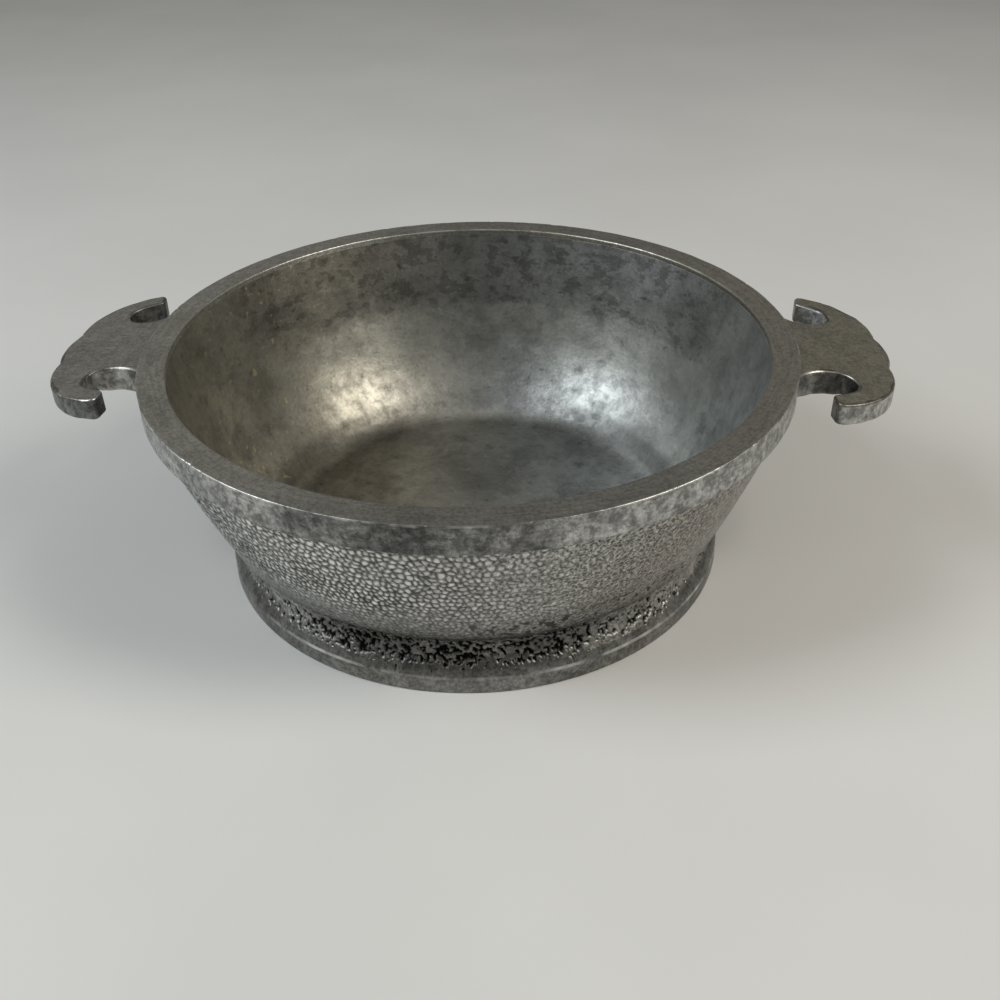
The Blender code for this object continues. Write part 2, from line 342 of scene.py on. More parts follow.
def rounded_corner(before, corner, after, radius, count):
    # An arc that touches both sides of a corner
    back = Vector(before) - Vector(corner)
    ahead = Vector(after) - Vector(corner)
    opening = back.angle(ahead)
    reach = min(radius / tan(opening / 2), 0.9 * back.length, 0.9 * ahead.length)
    radius = reach * tan(opening / 2)
    start = Vector(corner) + back.normalized() * reach
    end = Vector(corner) + ahead.normalized() * reach
    middle = ((start + end) / 2 - Vector(corner)).normalized()
    centre = Vector(corner) + middle * hypot(radius, reach)
    return sweep(centre, radius, start, end, count)


def arc_between(start, end, rise, count):
    # The arc that bows out by the given rise to the right of the line from start to end
    chord = hypot(end[0] - start[0], end[1] - start[1])
    radius = chord * chord / (8 * rise) + rise / 2
    right = ((end[1] - start[1]) / chord, -(end[0] - start[0]) / chord)
    centre_x = (start[0] + end[0]) / 2 - right[0] * (radius - rise)
    centre_y = (start[1] + end[1]) / 2 - right[1] * (radius - rise)
    return sweep((centre_x, centre_y), radius, start, end, count)


def between(start, end, count):
    # Points from start towards end, without end itself
    return [
        (start[0] + (end[0] - start[0]) * step / count, start[1] + (end[1] - start[1]) * step / count)
        for step in range(count)
    ]


class Shader:
    # A material's node tree with short calls for the nodes used here.
    # Places are in metres, colours in linear light, and patterns and masks run from 0 to 1.

    def __init__(self, name):
        self.material = bpy.data.materials.new(name)
        self.material.use_nodes = True
        self.tree = self.material.node_tree
        self.surface = self.tree.nodes["Principled BSDF"]
        self.place = self.tree.nodes.new("ShaderNodeTexCoord").outputs["Object"]

    def feed(self, socket, value):
        if hasattr(value, "is_output"):
            self.tree.links.new(value, socket)
        else:
            socket.default_value = value

    def stretched(self, scale, turn=(0.0, 0.0, 0.0)):
        node = self.tree.nodes.new("ShaderNodeMapping")
        self.feed(node.inputs["Vector"], self.place)
        node.inputs["Scale"].default_value = scale
        node.inputs["Rotation"].default_value = turn
        return node.outputs["Vector"]

    def noise(self, scale, detail=4.0, roughness=0.55, vector=None, distortion=0.0):
        node = self.tree.nodes.new("ShaderNodeTexNoise")
        self.feed(node.inputs["Vector"], self.place if vector is None else vector)
        node.inputs["Scale"].default_value = scale
        node.inputs["Detail"].default_value = detail
        node.inputs["Roughness"].default_value = roughness
        node.inputs["Distortion"].default_value = distortion
        return node.outputs["Fac"]

    def value(self, label):
        node = self.tree.nodes.new("ShaderNodeAttribute")
        node.attribute_name = label
        return node.outputs["Fac"]

    def remap(self, value, low, high, to_low=0.0, to_high=1.0):
        node = self.tree.nodes.new("ShaderNodeMapRange")
        node.interpolation_type = "SMOOTHSTEP"
        self.feed(node.inputs["Value"], value)
        node.inputs["From Min"].default_value = low
        node.inputs["From Max"].default_value = high
        node.inputs["To Min"].default_value = to_low
        node.inputs["To Max"].default_value = to_high
        return node.outputs["Result"]

    def combine(self, operation, first, second):
        node = self.tree.nodes.new("ShaderNodeMath")
        node.operation = operation
        self.feed(node.inputs[0], first)
        self.feed(node.inputs[1], second)
        return node.outputs["Value"]

    def product(self, *factors):
        result = factors[0]
        for factor in factors[1:]:
            result = self.combine("MULTIPLY", result, factor)
        return result

    def rest(self, share):
        return self.combine("SUBTRACT", 1.0, share)

    def blend(self, share, first, second):
        node = self.tree.nodes.new("ShaderNodeMix")
        node.data_type = "RGBA"
        self.feed(node.inputs["Factor"], share)
        self.feed(node.inputs["A"], first if hasattr(first, "is_output") else (*first, 1.0))
        self.feed(node.inputs["B"], second if hasattr(second, "is_output") else (*second, 1.0))
        return node.outputs["Result"]

    def scaled(self, colour, factor):
        node = self.tree.nodes.new("ShaderNodeVectorMath")
        node.operation = "SCALE"
        self.feed(node.inputs["Vector"], colour)
        self.feed(node.inputs["Scale"], factor)
        return node.outputs["Vector"]

    def toned(self, colour, pattern, factor, low=0.0, high=1.0):
        # The colour, going over to factor times itself as the pattern goes from low to high
        return self.scaled(colour, self.remap(pattern, low, high, 1.0, factor))

    def ringed(self, around, across):
        # A place stretched round the turn, so that noise on it runs in rings
        level = self.tree.nodes.new("ShaderNodeVectorMath")
        level.operation = "MULTIPLY"
        self.feed(level.inputs[0], self.place)
        level.inputs[1].default_value = (1.0, 1.0, 0.0)
        reach = self.tree.nodes.new("ShaderNodeVectorMath")
        reach.operation = "LENGTH"
        self.feed(reach.inputs[0], level.outputs["Vector"])
        depth = self.combine("ADD", reach.outputs["Value"], self.axis("Z"))
        place = self.tree.nodes.new("ShaderNodeCombineXYZ")
        self.feed(place.inputs["X"], self.product(self.axis("X"), around))
        self.feed(place.inputs["Y"], self.product(self.axis("Y"), around))
        self.feed(place.inputs["Z"], self.product(depth, across))
        return place.outputs["Vector"]

    def axis(self, letter):
        node = self.tree.nodes.new("ShaderNodeSeparateXYZ")
        self.feed(node.inputs["Vector"], self.place)
        return node.outputs[letter]

    def bump(self, height, distance, strength=1.0, normal=None):
        node = self.tree.nodes.new("ShaderNodeBump")
        self.feed(node.inputs["Height"], height)
        node.inputs["Distance"].default_value = distance
        node.inputs["Strength"].default_value = strength
        if normal is not None:
            self.feed(node.inputs["Normal"], normal)
        return node.outputs["Normal"]

    def finish(self, colour, roughness, normal):
        self.feed(self.surface.inputs["Base Color"], colour)
        self.feed(self.surface.inputs["Roughness"], roughness)
        self.surface.inputs["Metallic"].default_value = 1.0
        self.feed(self.surface.inputs["Normal"], normal)
        return self.material


def hammered_metal():
    shader = Shader("hammered_aluminium")
    groove = shader.value("groove")
    tone = shader.value("tone")
    across = shader.axis("X")
    clouds = shader.noise(45.0, 5.0, 0.6)
    flecks = shader.noise(520.0, 4.0, 0.65)
    grain = shader.noise(1150.0, 2.0, 0.5)
    dust = shader.noise(1400.0, 3.0, 0.65)
    colour = shader.blend(shader.remap(clouds, 0.3, 0.7), (0.68, 0.67, 0.63), (0.86, 0.85, 0.815))
    colour = shader.blend(shader.remap(across, 0.005, 0.055, 0.0, 0.5), colour, (0.68, 0.645, 0.55))
    # Paler towards the left: painted light
    colour = shader.blend(shader.remap(across, 0.0, -0.05, 0.0, 0.7), colour, (0.93, 0.93, 0.90))
    # Darker towards the foot: painted shade, where the low wall mirrors the shadowed floor
    low = shader.remap(across, -0.005, 0.03, 0.72, 0.45)
    low = shader.product(shader.remap(shader.axis("Z"), 0.036, 0.021), low)
    colour = shader.blend(low, colour, (0.21, 0.205, 0.186))
    # The grain is finer and darker towards the right
    coarse = shader.remap(across, -0.01, 0.045, 0.62, 0.42)
    coarse = shader.product(shader.remap(grain, 0.34, 0.64), coarse)
    fine = shader.remap(across, -0.02, 0.045, 0.20, 0.86)
    fine = shader.product(shader.remap(dust, 0.42, 0.58), fine)
    colour = shader.scaled(colour, shader.rest(coarse))
    colour = shader.scaled(colour, shader.rest(fine))
    colour = shader.toned(colour, flecks, 0.75, 0.38, 0.62)
    # Bright worn tops and dark grooves, and painted light and shade from side to side, brightest at the
    # front left
    colour = shader.blend(tone, colour, (0.97, 0.97, 0.945))
    colour = shader.scaled(colour, shader.remap(across, -0.036, 0.0, 1.07, 0.89))
    colour = shader.toned(colour, across, 0.85, -0.042, -0.058)
    colour = shader.toned(colour, across, 1.12, 0.0, 0.045)
    colour = shader.blend(groove, colour, (0.05, 0.049, 0.044))
    roughness = shader.remap(groove, 0.0, 1.0, 0.30, 0.62)
    normal = shader.bump(grain, 0.0003, 0.4)
    return shader.finish(colour, roughness, normal)


def stained_metal():
    shader = Shader("stained_inside")
    clouds = shader.noise(26.0, 7.0, 0.62, distortion=0.3)
    blots = shader.noise(95.0, 7.0, 0.66)
    patches = shader.noise(62.0, 8.0, 0.7, shader.stretched((1.0, 1.0, 1.7)), 0.5)
    marks = shader.noise(150.0, 6.0, 0.66, shader.stretched((1.0, 1.0, 1.6)))
    spots = shader.noise(250.0, 5.0, 0.62)
    specks = shader.noise(850.0, 3.0, 0.6)
    crumbs = shader.noise(420.0, 1.0, 0.5)
    rings = shader.noise(1.0, 4.0, 0.6, shader.ringed(60.0, 900.0))
    height = shader.axis("Z")
    across = shader.axis("X")
    away = shader.axis("Y")
    aside = shader.product(across, across)
    floor = shader.remap(height, 0.0095, 0.0067)
    # Bluish at the right, warmer at the left and olive on the floor
    colour = shader.blend(shader.remap(across, 0.015, -0.06), (0.362, 0.376, 0.371), (0.417, 0.398, 0.337))
    colour = shader.blend(shader.remap(across, 0.038, 0.072), colour, (0.525, 0.546, 0.539))
    olive = shader.product(floor, shader.remap(across, 0.03, -0.02, 0.0, 0.6))
    colour = shader.blend(olive, colour, (0.408, 0.392, 0.336))
    # Painted light makes the back paler in the middle, and a darker ring runs where the floor turns up
    # into the wall, partly a stain and partly painted shade that trims the highlights
    middle = shader.product(shader.remap(aside, 0.0009, 0.0001), shader.rest(floor))
    colour = shader.toned(colour, middle, 1.22)
    turn = shader.remap(aside, 0.0003, 0.0012, 0.3, 1.0)
    turn = shader.product(turn, shader.remap(height, 0.0150, 0.0105))
    colour = shader.toned(colour, turn, 0.54)
    # The floor is paler, most of all at the right, and so is the foot of the right wall
    colour = shader.toned(colour, floor, 1.72)
    right_floor = shader.product(floor, shader.remap(across, 0.02, 0.045))
    colour = shader.toned(colour, right_floor, 1.45)
    right_low = shader.product(shader.remap(height, 0.028, 0.016), shader.remap(across, 0.035, 0.052))
    colour = shader.toned(colour, right_low, 1.2)
    # Painted highlight above both highlights
    upper_highlight = shader.product(shader.remap(height, 0.014, 0.021), shader.remap(height, 0.046, 0.034))
    sides = shader.product(shader.remap(aside, 0.0002, 0.0010), shader.remap(aside, 0.0040, 0.0026))
    upper_highlight = shader.product(upper_highlight, sides)
    colour = shader.toned(colour, upper_highlight, 1.20)
    # Painted shade low at the far left, and between the highlights
    flank = shader.product(shader.remap(across, -0.045, -0.055), shader.remap(height, 0.038, 0.028))
    colour = shader.toned(colour, flank, 0.86)
    inner = shader.product(shader.remap(across, 0.003, 0.011), shader.remap(across, 0.026, 0.017))
    inner = shader.product(inner, shader.remap(height, 0.024, 0.014), shader.rest(floor))
    colour = shader.toned(colour, inner, 0.82)
    # Darker above a faint tide line at the back, with stains
    line = shader.combine("ADD", height, shader.product(clouds, 0.008))
    crisp = shader.product(shader.remap(line, 0.0435, 0.0465), shader.remap(away, 0.045, 0.07))
    colour = shader.toned(colour, crisp, 0.88)
    upper = shader.product(shader.remap(line, 0.036, 0.052), shader.remap(away, 0.01, 0.06))
    colour = shader.toned(colour, upper, 0.765)
    left = shader.product(upper, shader.remap(across, -0.02, -0.05))
    colour = shader.toned(colour, left, 0.66)
    right = shader.product(upper, shader.remap(across, 0.02, 0.05))
    colour = shader.toned(colour, right, 0.76)
    stains = shader.product(upper, shader.remap(marks, 0.515, 0.550))
    colour = shader.toned(colour, stains, 0.68)
    # Stains of every size, faint turning rings and a few yellow crumbs at the left
    colour = shader.toned(colour, clouds, 0.91, 0.36, 0.64)
    colour = shader.toned(colour, patches, 0.86, 0.522, 0.550)
    colour = shader.toned(colour, blots, 0.78, 0.40, 0.62)
    colour = shader.toned(colour, spots, 0.84, 0.44, 0.58)
    colour = shader.toned(colour, spots, 0.66, 0.63, 0.68)
    colour = shader.toned(colour, specks, 0.86, 0.46, 0.68)
    colour = shader.toned(colour, rings, 0.95, 0.36, 0.64)
    crust = shader.remap(across, -0.050, -0.066, 0.0, 0.5)
    crust = shader.product(shader.remap(crumbs, 0.68, 0.74), crust)
    colour = shader.blend(crust, colour, (0.62, 0.52, 0.27))
    roughness = shader.remap(spots, 0.35, 0.65, 0.41, 0.50)
    normal = shader.bump(specks, 0.0002, 0.25)
    normal = shader.bump(spots, 0.0004, 0.12, normal)
    normal = shader.bump(rings, 0.0001, 0.1, normal)
    return shader.finish(colour, roughness, normal)


def turned_metal():
    shader = Shader("turned_aluminium")
    edge_highlight = shader.value("edge_highlight")
    top = shader.value("top")
    clouds = shader.noise(60.0, 6.0, 0.68, distortion=0.3)
    patches = shader.noise(210.0, 7.0, 0.7, distortion=0.4)
    mottle = shader.noise(420.0, 5.0, 0.68)
    grain = shader.noise(1300.0, 3.0, 0.6)
    scratches = shader.noise(1.0, 4.0, 0.65, shader.ringed(90.0, 1500.0))
    across = shader.axis("X")
    # The side is darkest at the front and paler towards both handles
    pale = shader.remap(clouds, 0.3, 0.7, 0.40, 0.60)
    pale = shader.combine("ADD", pale, shader.remap(across, -0.01, 0.05, 0.0, 0.20))
    pale = shader.combine("ADD", pale, shader.remap(across, -0.015, -0.055, 0.0, 0.22))
    side = shader.blend(shader.remap(pale, 0.40, 0.80), (0.155, 0.155, 0.15), (0.69, 0.69, 0.67))
    side = shader.toned(side, patches, 0.78, 0.45, 0.56)
    side = shader.toned(side, mottle, 0.56, 0.40, 0.60)
    # The top is smoother, paler at the left and browner at the right
    face = shader.blend(shader.remap(clouds, 0.36, 0.64), (0.46, 0.45, 0.405), (0.54, 0.53, 0.484))
    face = shader.toned(face, across, 1.36, 0.0, -0.055)
    face = shader.blend(shader.remap(across, 0.04, 0.085, 0.0, 0.8), face, (0.57, 0.545, 0.47))
    face = shader.toned(face, mottle, 0.78, 0.36, 0.66)
    colour = shader.blend(top, side, face)
    colour = shader.toned(colour, grain, 0.70, 0.40, 0.66)
    colour = shader.toned(colour, scratches, 0.80, 0.36, 0.64)
    # Painted highlight along the rim's edges
    colour = shader.blend(shader.product(edge_highlight, 0.6), colour, (0.70, 0.70, 0.68))
    roughness = shader.remap(mottle, 0.3, 0.7, 0.36, 0.46)
    normal = shader.bump(mottle, 0.0003, 0.2)
    normal = shader.bump(scratches, 0.0001, 0.2, normal)
    normal = shader.bump(grain, 0.0002, 0.3, normal)
    return shader.finish(colour, roughness, normal)


def cast_metal():
    shader = Shader("cast_aluminium")
    pit = shader.value("pit")
    edge_highlight = shader.value("edge_highlight")
    clouds = shader.noise(70.0, 6.0, 0.65, distortion=0.3)
    mottle = shader.noise(420.0, 4.0, 0.6)
    grain = shader.noise(1200.0, 3.0, 0.6)
    colour = shader.blend(shader.remap(clouds, 0.34, 0.68), (0.24, 0.238, 0.224), (0.36, 0.357, 0.338))
    height = shader.axis("Z")
    colour = shader.scaled(colour, shader.remap(height, 0.0075, 0.0045, 0.74, 1.02))
    # Painted highlight between the cove's pits towards both sides
    across = shader.axis("X")
    aside = shader.product(across, across)
    sides = shader.product(shader.remap(aside, 0.0005, 0.0018), shader.remap(height, 0.0080, 0.0100))
    colour = shader.toned(colour, sides, 2.1)
    colour = shader.toned(colour, mottle, 0.6, 0.38, 0.66)
    colour = shader.toned(colour, grain, 0.6, 0.40, 0.66)
    # Painted highlight along the edge between lip and band
    colour = shader.blend(shader.product(edge_highlight, 0.8), colour, (0.85, 0.85, 0.83))
    colour = shader.blend(pit, colour, (0.010, 0.0095, 0.0085))
    roughness = shader.remap(pit, 0.0, 1.0, 0.38, 0.9)
    normal = shader.bump(grain, 0.0003, 0.35)
    return shader.finish(colour, roughness, normal)


def handle_metal(name, lean, face_tint, side_tint, front_slot_light_and_shade, back_slot_light_and_shade):
    shader = Shader(name)
    edge_highlight = shader.value("edge_highlight")
    side = shader.value("side")
    slot = shader.value("slot")
    dull = shader.value("dull")
    streaks = shader.noise(90.0, 5.0, 0.6, shader.stretched((3.0, 18.0, 3.0), (0.0, 0.0, lean)))
    clouds = shader.noise(140.0, 5.0, 0.6, distortion=0.4)
    patches = shader.noise(260.0, 6.0, 0.68, distortion=0.4)
    mottle = shader.noise(520.0, 4.0, 0.62)
    grain = shader.noise(1300.0, 3.0, 0.6)
    face = shader.toned(face_tint, clouds, 0.86, 0.36, 0.64)
    face = shader.toned(face, streaks, 0.88, 0.42, 0.66)
    face = shader.toned(face, mottle, 0.80, 0.38, 0.66)
    # The sides and the slots are blotched, and the slots' colours are painted light and shade
    rough = shader.blend(shader.remap(shader.axis("Y"), -0.005, 0.005), front_slot_light_and_shade, back_slot_light_and_shade)
    rough = shader.blend(slot, side_tint, rough)
    rough = shader.toned(rough, patches, 0.60, 0.44, 0.58)
    rough = shader.toned(rough, mottle, 0.66, 0.38, 0.66)
    colour = shader.blend(side, face, rough)
    colour = shader.toned(colour, grain, 0.70, 0.38, 0.66)
    colour = shader.toned(colour, dull, 0.42)
    # Painted highlight along the top edges
    colour = shader.blend(shader.product(edge_highlight, 0.5), colour, (0.58, 0.58, 0.56))
    roughness = shader.remap(edge_highlight, 0.0, 1.0, 0.46, 0.36)
    normal = shader.bump(streaks, 0.0002, 0.1)
    normal = shader.bump(mottle, 0.0003, 0.15, normal)
    normal = shader.bump(grain, 0.0002, 0.3, normal)
    return shader.finish(colour, roughness, normal)


def wall_radius(height):
    share = (height - FOOT_HEIGHT) / (BAND_BASE - FOOT_HEIGHT)
    straight = WALL_FOOT_RADIUS + (WALL_TOP_RADIUS - WALL_FOOT_RADIUS) * share
    # The wall draws in a little just above the foot
    ease = np.clip((FOOT_HEIGHT + HEEL_RISE - height) / HEEL_RISE, 0.0, 1.0)
    return straight + WALL_BULGE * 4 * share * (1 - share) - HEEL_EASE * ease * ease


def hammered_wall(columns, rows):
    # Points of the outer wall, with worn pebbles between grooves, and their groove and tone marks
    heights = np.linspace(WALL_TOP, WALL_BOTTOM, rows)
    taper = (WALL_TOP_RADIUS - WALL_FOOT_RADIUS) / (BAND_BASE - FOOT_HEIGHT)
    lean = sqrt(1 + taper * taper)
    angle = np.tile(turn_angles(columns), rows)
    height = np.repeat(heights, columns)
    radius = wall_radius(height)
    along = (BAND_BASE - height) * lean
    length = along.max()
    row_heights = []
    while sum(row_heights) < length:
        row_heights.append(PEBBLE_HEIGHT - PEBBLE_SHRINK * min(1.0, sum(row_heights) / length))
    flat = np.stack([radius * np.cos(angle), radius * np.sin(angle), height], -1)
    swirl = angle + 0.004 * lumps(flat, 4.5, 11)
    drift = along + 0.35 * lumps(flat, 5.0, 12)
    nearest, second, aside, below, row, column = cells_around(
        swirl, drift, radius, row_heights, PEBBLES_ROUND, PEBBLE_JITTER, 5
    )
    border = second - nearest
    crown = smoothstep(0.0, 1.0, border)
    tilt_aside = scatter(row, column, row * 0 + 3, 21) - 0.5
    tilt_below = scatter(row, column, row * 0 + 4, 21) - 0.5
    chance = scatter(row, column, row * 0 + 5, 21)
    # The pebbles are crisp at the front left, more worn at the right and fade out above the foot
    crisp = 0.15 + 0.91 * within_turn(angle, CRISP_SPAN)
    crisp = np.maximum(crisp, 0.75 * within_turn(angle, BACK_CRISP_SPAN))
    crisp = crisp * (1.0 + 0.35 * lumps(flat, 16.0, 31))
    fall = along / length + 0.08 * lumps(flat, 9.0, 32)
    crisp = crisp * (0.22 + 0.78 * smoothstep(0.90, 0.55, fall))
    crisp = crisp * smoothstep(-0.2, 1.0, along)
    dome = PEBBLE_RISE * crown * (0.5 + chance) - PEBBLE_RISE / 2
    facet = PEBBLE_TILT * (tilt_aside * aside + tilt_below * below) * crown
    relief = crisp * (dome + facet) + 0.06 * lumps(flat, 0.85, 41) + 0.05 * lumps(flat, 14.0, 42)
    relief = relief * smoothstep(0.0, 0.5, along) * smoothstep(0.0, 1.0, length - along)
    out_radius = radius + relief / lean
    out_height = height - relief * taper / lean
    points = np.stack([out_radius * np.cos(angle), out_radius * np.sin(angle), out_height], -1)
    groove = np.clip(crisp, 0.0, 1.1) * smoothstep(0.80, 0.15, border) * 0.9
    # Small dark pits low on the wall, mostly at the front right
    pitting = 0.62 * lumps(flat, 1.5, 71) + 0.38 * lumps(flat, 0.8, 72)
    pits = smoothstep(-0.22, -0.32, pitting) * smoothstep(0.68, 0.86, along / length)
    pits = pits * (0.3 + 0.7 * within_turn(angle, LOW_PIT_SPAN))
    groove = np.maximum(groove, 0.95 * pits)
    tone = np.clip(crisp, 0.0, 1.0) * smoothstep(0.45, 0.95, border) * (0.35 + 0.65 * chance)
    return points.reshape(rows, columns, 3), np.clip(groove, 0.0, 1.0), np.clip(tone, 0.0, 1.0)


def inside_path():
    # The bowl's inside, from near the centre of its floor up to the mouth.
    # It turns up in a tight arc and then in an easy one.
    mouth = (MOUTH_RADIUS, MOUTH_SEAM)
    inner_heel = WALL_FOOT_RADIUS - WALL_THICKNESS
    taper = (mouth[0] - inner_heel) / (mouth[1] - FOOT_HEIGHT)
    corner = (inner_heel - taper * (FOOT_HEIGHT - FLOOR_TOP), FLOOR_TOP)
    slope = atan2(mouth[1] - corner[1], mouth[0] - corner[0])
    split = slope * FILLET_SHARE
    rise = FLOOR_FILLET * (1 - cos(split)) + WALL_CURVE * (cos(split) - cos(slope))
    width = FLOOR_FILLET * sin(split) + WALL_CURVE * (sin(slope) - sin(split))
    start = (corner[0] + rise / tan(slope) - width, FLOOR_TOP)
    path = [(radius, FLOOR_TOP) for radius in (6.0, 14.0, 22.0, 30.0, 38.0, 45.0, 50.5)]
    tight = arc((start[0], FLOOR_TOP + FLOOR_FILLET), FLOOR_FILLET, -90.0, degrees(split) - 90.0, 10)
    centre = (tight[-1][0] - WALL_CURVE * sin(split), tight[-1][1] + WALL_CURVE * cos(split))
    easy = arc(centre, WALL_CURVE, degrees(split) - 90.0, degrees(slope) - 90.0, 12)[1:]
    path += tight + easy + between(easy[-1], mouth, 12)[1:]
    return path + [(mouth[0] - 0.04, mouth[1] - 0.15), mouth]


def build_body():
    rings = [np.array([[0.0, 0.0, FLOOR_TOP]])]
    for radius, height in inside_path():
        points = ring(radius, height, BOWL_COLUMNS)
        # Soft dents, which fade out below the mouth and change from sideways to upright towards the floor
        dents = 0.08 * lumps(points, 24.0, 51) + 0.05 * lumps(points, 9.0, 52)
        dents = dents * smoothstep(*DENT_HEIGHTS, np.full(BOWL_COLUMNS, height))
        slope = smoothstep(*DENT_RADII, np.full(BOWL_COLUMNS, radius))
        points[:, :2] *= (1.0 + dents * slope / radius)[:, None]
        points[:, 2] += dents * (1.0 - slope)
        rings.append(points)
    inside_points = sum(len(item) for item in rings)
    rings.append(ring(*BODY_LIP, BOWL_COLUMNS))
    rings.append(ring(BODY_SHOULDER_RADIUS, WALL_TOP, BOWL_COLUMNS))
    before = sum(len(item) for item in rings)
    grid, groove, tone = hammered_wall(WALL_COLUMNS, WALL_ROWS)
    rings += list(grid)
    heel_start = (wall_radius(HEEL_START), HEEL_START)
    heel_corner = (wall_radius(FOOT_HEIGHT), FOOT_HEIGHT)
    heel = rounded_corner(heel_start, heel_corner, HEEL_SEAT, HEEL_ROUND, 4)
    rings += [ring(radius, height, WALL_COLUMNS) for radius, height in heel[1:] + [HEEL_SEAT]]
    base = [(71.2, FOOT_HEIGHT - 0.2)]
    base += [(radius, BASE_RECESS) for radius in (BASE_RADIUS, 45.0, 20.0)]
    rings += [ring(radius, height, BOWL_COLUMNS) for radius, height in base]
    rings.append(np.array([[0.0, 0.0, BASE_RECESS]]))
    points, faces = stitch(rings)
    groove_marks = np.zeros(len(points))
    tone_marks = np.zeros(len(points))
    groove_marks[before:before + len(groove)] = groove
    tone_marks[before:before + len(tone)] = tone
    metals = [hammered_metal(), stained_metal()]
    marks = {"groove": groove_marks, "tone": tone_marks}
    piece = make_piece("pot_body_visual", points, faces, metals, "pot_body", marks)
    # The inside wears the second metal
    flags = [1 if max(face) < inside_points else 0 for face in faces]
    piece.data.polygons.foreach_set("material_index", flags)


def build_band():
    inner_centre = (MOUTH_RADIUS + INNER_EDGE_ROUND, POT_HEIGHT - INNER_EDGE_ROUND)
    inner_edge = arc(inner_centre, INNER_EDGE_ROUND, 180.0, 90.0, 4)
    outer_centre = (RIM_RADIUS - OUTER_EDGE_ROUND, POT_HEIGHT - OUTER_EDGE_ROUND)
    outer_edge = arc(outer_centre, OUTER_EDGE_ROUND, 90.0, 0.0, 5)
    lower_centre = (RIM_RADIUS - LOWER_EDGE_ROUND, BAND_BASE + LOWER_EDGE_ROUND)
    lower_edge = arc(lower_centre, LOWER_EDGE_ROUND, 0.0, -90.0, 4)
    inner_face = [(MOUTH_RADIUS, MOUTH_SEAM)]
    inner_face += between((MOUTH_RADIUS, BAND_MOUTH_BASE), inner_edge[0], 3)
    top_face = between(inner_edge[-1], outer_edge[0], 16)[1:]
    outer_face = between(outer_edge[-1], lower_edge[0], 16)[1:]
    path = inner_face + inner_edge + top_face + outer_edge + outer_face + lower_edge + BAND_SEAT
    first_edge = len(inner_face) + len(inner_edge) + len(top_face)
    angle = turn_angles(BAND_COLUMNS)
    # Nicks in the outer edge, the first of them deep
    dent = np.zeros(BAND_COLUMNS)
    for number in range(NICK_COUNT):
        here = 360.0 * scatter(number, 1, 0, 65) if number else RIM_NICK
        width = 0.35 + 0.7 * scatter(number, 2, 0, 65)
        depth = 0.05 + 0.15 * scatter(number, 3, 0, 65) if number else DEEP_NICK
        reach = np.abs(turn_gap(angle, here)) * RIM_RADIUS * pi / 180.0
        dent = np.maximum(dent, depth * smoothstep(width, 0.0, reach))
    rings = []
    edge_highlight = []
    top = []
    for index, (radius, height) in enumerate(path):
        points = ring(radius, height, BAND_COLUMNS)
        on_edge = first_edge <= index < first_edge + len(outer_edge)
        wave = 0.05 * lumps(points, 18.0, 61) + 0.04 * lumps(points, 4.0, 62) - 0.05
        near_edge = max(0.0, 1.0 - hypot(radius - RIM_RADIUS, height - POT_HEIGHT) / 1.2)
        sunk = np.minimum(wave, 0.0) * (index < len(path) - len(BAND_SEAT)) - dent * near_edge
        if height > POT_HEIGHT - 0.45:
            points[:, 2] += sunk
        if radius > RIM_RADIUS - 1.0:
            points[:, :2] *= (1.0 + sunk / RIM_RADIUS)[:, None]
        rings.append(points)
        # A painted highlight on the outer top edge, and at the back on the inner edge, broken into patches
        patchy = 0.55 + 0.9 * lumps(points, 7.0, 63) + 0.5 * lumps(points, 1.5, 64)
        inner = len(inner_face) <= index < len(inner_face) + len(inner_edge)
        lit = on_edge + 0.9 * inner * within_turn(angle, BRIGHT_LIP_SPAN)
        edge_highlight.append(np.clip(patchy, 0.0, 1.0) * lit)
        top.append(np.full(BAND_COLUMNS, 1.0 if index < first_edge + 2 else 0.0))
    points, faces = stitch(rings, closed=True)
    marks = {"edge_highlight": np.concatenate(edge_highlight), "top": np.concatenate(top)}
    make_piece("rim_band_visual", points, faces, [turned_metal()], "rim_band", marks)


